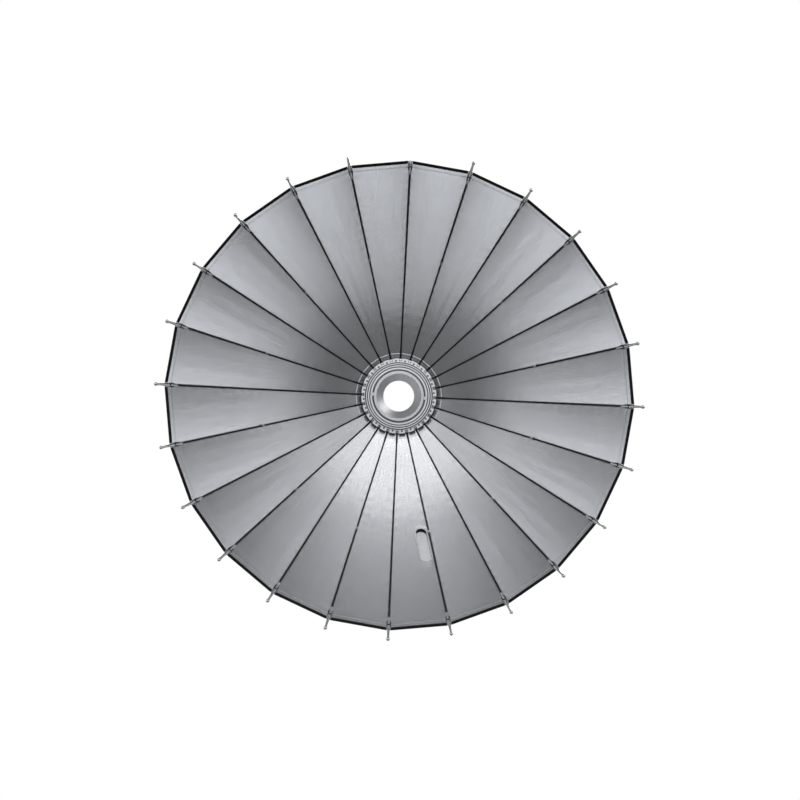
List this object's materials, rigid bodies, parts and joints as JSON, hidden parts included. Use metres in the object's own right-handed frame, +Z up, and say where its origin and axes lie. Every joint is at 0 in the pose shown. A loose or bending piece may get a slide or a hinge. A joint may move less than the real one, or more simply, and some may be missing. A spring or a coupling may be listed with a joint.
{
  "type": "parabolic umbrella reflector",
  "caption": "Deep parabolic studio reflector: silver gores stretched on hinged ribs round a turned hub with a through bore, folding forward like an umbrella.",
  "frame": {"origin": "centre of the hub bore's rear end", "axes": "-Y out of the open bowl, +Y out of the bore's rear end, +Z up towards rib_01, ribs counted clockwise seen from the open side"},
  "size_m": [0.9232, 0.3787, 0.9076],
  "materials": {
    "hub_alloy": "fine turned, clear anodised",
    "ring_alloy": "satin turned",
    "hub_black": "black anodised",
    "steel": "brushed",
    "dark_steel": "blackened",
    "rib_black": "pultruded glass fibre with a satin skin",
    "collar_rubber": "fine ribbed",
    "silver_fabric": "silver coated weave with a black back",
    "black_binding": "woven tape",
    "black_elastic": "braided elastic cord"
  },
  "bodies": {
    "hub": {"hub_front_ring": "hub_alloy", "hub_rear_ring": "hub_alloy", "hinge_pins": "steel", "crown_screws": "dark_steel", "hub_sleeve": "hub_alloy", "lip_ring": "hub_alloy", "rear_cover": "hub_black", "cover_screws": "dark_steel", "fabric_clamp_ring": "hub_black", "button_springs": "steel", "gore_panels": "silver_fabric", "port_gore": "silver_fabric", "rim_binding": "black_binding", "inner_hem": "silver_fabric", "corner_loops": "black_elastic", "fabric_ties": "steel", "port_edging": "silver_fabric", "port_flap": "silver_fabric"},
    "press_ring": {"press_ring": "ring_alloy", "pull_rods": "steel", "pull_collar": "collar_rubber"},
    "lock_button_left": {"lock_button_left": "steel"},
    "lock_button_right": {"lock_button_right": "steel"},
    "rib_01": {"rib_01": "rib_black"},
    "rib_02": {"rib_02": "rib_black"},
    "rib_03": {"rib_03": "rib_black"},
    "rib_04": {"rib_04": "rib_black"},
    "rib_05": {"rib_05": "rib_black"},
    "rib_06": {"rib_06": "rib_black"},
    "rib_07": {"rib_07": "rib_black"},
    "rib_08": {"rib_08": "rib_black"},
    "rib_09": {"rib_09": "rib_black"},
    "rib_10": {"rib_10": "rib_black"},
    "rib_11": {"rib_11": "rib_black"},
    "rib_12": {"rib_12": "rib_black"},
    "rib_13": {"rib_13": "rib_black"},
    "rib_14": {"rib_14": "rib_black"},
    "rib_15": {"rib_15": "rib_black"},
    "rib_16": {"rib_16": "rib_black"},
    "rib_17": {"rib_17": "rib_black"},
    "rib_18": {"rib_18": "rib_black"},
    "rib_19": {"rib_19": "rib_black"},
    "rib_20": {"rib_20": "rib_black"},
    "rib_21": {"rib_21": "rib_black"},
    "rib_22": {"rib_22": "rib_black"},
    "rib_23": {"rib_23": "rib_black"},
    "rib_24": {"rib_24": "rib_black"}
  },
  "joints": [
    {"name": "canopy_fold", "type": "hinge", "parent": "hub", "child": "rib_01", "pos_m": [0, -0.04, 0.0765], "axis": [1, 0, 0], "range_deg": [0, 45], "deforming": ["gore_panels", "port_gore", "rim_binding", "inner_hem", "corner_loops", "fabric_ties", "port_edging", "port_flap"]},
    {"name": "rib_02_fold", "type": "hinge", "parent": "hub", "child": "rib_02", "pos_m": [0.0198, -0.04, 0.07389], "axis": [0.9659, 0, -0.2588], "range_deg": [0, 45]},
    {"name": "rib_03_fold", "type": "hinge", "parent": "hub", "child": "rib_03", "pos_m": [0.03825, -0.04, 0.06625], "axis": [0.866, 0, -0.5], "range_deg": [0, 45]},
    {"name": "rib_04_fold", "type": "hinge", "parent": "hub", "child": "rib_04", "pos_m": [0.05409, -0.04, 0.05409], "axis": [0.7071, 0, -0.7071], "range_deg": [0, 45]},
    {"name": "rib_05_fold", "type": "hinge", "parent": "hub", "child": "rib_05", "pos_m": [0.06625, -0.04, 0.03825], "axis": [0.5, 0, -0.866], "range_deg": [0, 45]},
    {"name": "rib_06_fold", "type": "hinge", "parent": "hub", "child": "rib_06", "pos_m": [0.07389, -0.04, 0.0198], "axis": [0.2588, 0, -0.9659], "range_deg": [0, 45]},
    {"name": "rib_07_fold", "type": "hinge", "parent": "hub", "child": "rib_07", "pos_m": [0.0765, -0.04, 0], "axis": [0, 0, -1], "range_deg": [0, 45]},
    {"name": "rib_08_fold", "type": "hinge", "parent": "hub", "child": "rib_08", "pos_m": [0.07389, -0.04, -0.0198], "axis": [-0.2588, 0, -0.9659], "range_deg": [0, 45]},
    {"name": "rib_09_fold", "type": "hinge", "parent": "hub", "child": "rib_09", "pos_m": [0.06625, -0.04, -0.03825], "axis": [-0.5, 0, -0.866], "range_deg": [0, 45]},
    {"name": "rib_10_fold", "type": "hinge", "parent": "hub", "child": "rib_10", "pos_m": [0.05409, -0.04, -0.05409], "axis": [-0.7071, 0, -0.7071], "range_deg": [0, 45]},
    {"name": "rib_11_fold", "type": "hinge", "parent": "hub", "child": "rib_11", "pos_m": [0.03825, -0.04, -0.06625], "axis": [-0.866, 0, -0.5], "range_deg": [0, 45]},
    {"name": "rib_12_fold", "type": "hinge", "parent": "hub", "child": "rib_12", "pos_m": [0.0198, -0.04, -0.07389], "axis": [-0.9659, 0, -0.2588], "range_deg": [0, 45]},
    {"name": "rib_13_fold", "type": "hinge", "parent": "hub", "child": "rib_13", "pos_m": [0, -0.04, -0.0765], "axis": [-1, 0, 0], "range_deg": [0, 45]},
    {"name": "rib_14_fold", "type": "hinge", "parent": "hub", "child": "rib_14", "pos_m": [-0.0198, -0.04, -0.07389], "axis": [-0.9659, 0, 0.2588], "range_deg": [0, 45]},
    {"name": "rib_15_fold", "type": "hinge", "parent": "hub", "child": "rib_15", "pos_m": [-0.03825, -0.04, -0.06625], "axis": [-0.866, 0, 0.5], "range_deg": [0, 45]},
    {"name": "rib_16_fold", "type": "hinge", "parent": "hub", "child": "rib_16", "pos_m": [-0.05409, -0.04, -0.05409], "axis": [-0.7071, 0, 0.7071], "range_deg": [0, 45]},
    {"name": "rib_17_fold", "type": "hinge", "parent": "hub", "child": "rib_17", "pos_m": [-0.06625, -0.04, -0.03825], "axis": [-0.5, 0, 0.866], "range_deg": [0, 45]},
    {"name": "rib_18_fold", "type": "hinge", "parent": "hub", "child": "rib_18", "pos_m": [-0.07389, -0.04, -0.0198], "axis": [-0.2588, 0, 0.9659], "range_deg": [0, 45]},
    {"name": "rib_19_fold", "type": "hinge", "parent": "hub", "child": "rib_19", "pos_m": [-0.0765, -0.04, 0], "axis": [0, 0, 1], "range_deg": [0, 45]},
    {"name": "rib_20_fold", "type": "hinge", "parent": "hub", "child": "rib_20", "pos_m": [-0.07389, -0.04, 0.0198], "axis": [0.2588, 0, 0.9659], "range_deg": [0, 45]},
    {"name": "rib_21_fold", "type": "hinge", "parent": "hub", "child": "rib_21", "pos_m": [-0.06625, -0.04, 0.03825], "axis": [0.5, 0, 0.866], "range_deg": [0, 45]},
    {"name": "rib_22_fold", "type": "hinge", "parent": "hub", "child": "rib_22", "pos_m": [-0.05409, -0.04, 0.05409], "axis": [0.7071, 0, 0.7071], "range_deg": [0, 45]},
    {"name": "rib_23_fold", "type": "hinge", "parent": "hub", "child": "rib_23", "pos_m": [-0.03825, -0.04, 0.06625], "axis": [0.866, 0, 0.5], "range_deg": [0, 45]},
    {"name": "rib_24_fold", "type": "hinge", "parent": "hub", "child": "rib_24", "pos_m": [-0.0198, -0.04, 0.07389], "axis": [0.9659, 0, 0.2588], "range_deg": [0, 45]},
    {"name": "press_ring_slide", "type": "slide", "parent": "hub", "child": "press_ring", "axis": [0, 1, 0], "range_m": [0, 0.0116]},
    {"name": "lock_button_left_press", "type": "slide", "parent": "hub", "child": "lock_button_left", "axis": [0, 1, 0], "range_m": [0, 0.0024], "stiffness_N_per_m": 400, "springref_m": -0.002, "deforming": ["button_springs"]},
    {"name": "lock_button_right_press", "type": "slide", "parent": "hub", "child": "lock_button_right", "axis": [0, 1, 0], "range_m": [0, 0.0024], "stiffness_N_per_m": 400, "springref_m": -0.002, "deforming": ["button_springs"]}
  ],
  "couplings": [
    {"joint": "rib_02_fold", "follows": "canopy_fold", "ratio": 1},
    {"joint": "rib_03_fold", "follows": "canopy_fold", "ratio": 1},
    {"joint": "rib_04_fold", "follows": "canopy_fold", "ratio": 1},
    {"joint": "rib_05_fold", "follows": "canopy_fold", "ratio": 1},
    {"joint": "rib_06_fold", "follows": "canopy_fold", "ratio": 1},
    {"joint": "rib_07_fold", "follows": "canopy_fold", "ratio": 1},
    {"joint": "rib_08_fold", "follows": "canopy_fold", "ratio": 1},
    {"joint": "rib_09_fold", "follows": "canopy_fold", "ratio": 1},
    {"joint": "rib_10_fold", "follows": "canopy_fold", "ratio": 1},
    {"joint": "rib_11_fold", "follows": "canopy_fold", "ratio": 1},
    {"joint": "rib_12_fold", "follows": "canopy_fold", "ratio": 1},
    {"joint": "rib_13_fold", "follows": "canopy_fold", "ratio": 1},
    {"joint": "rib_14_fold", "follows": "canopy_fold", "ratio": 1},
    {"joint": "rib_15_fold", "follows": "canopy_fold", "ratio": 1},
    {"joint": "rib_16_fold", "follows": "canopy_fold", "ratio": 1},
    {"joint": "rib_17_fold", "follows": "canopy_fold", "ratio": 1},
    {"joint": "rib_18_fold", "follows": "canopy_fold", "ratio": 1},
    {"joint": "rib_19_fold", "follows": "canopy_fold", "ratio": 1},
    {"joint": "rib_20_fold", "follows": "canopy_fold", "ratio": 1},
    {"joint": "rib_21_fold", "follows": "canopy_fold", "ratio": 1},
    {"joint": "rib_22_fold", "follows": "canopy_fold", "ratio": 1},
    {"joint": "rib_23_fold", "follows": "canopy_fold", "ratio": 1},
    {"joint": "rib_24_fold", "follows": "canopy_fold", "ratio": 1},
    {"joint": "press_ring_slide", "follows": "canopy_fold", "m_per_rad": 0.014617}
  ]
}
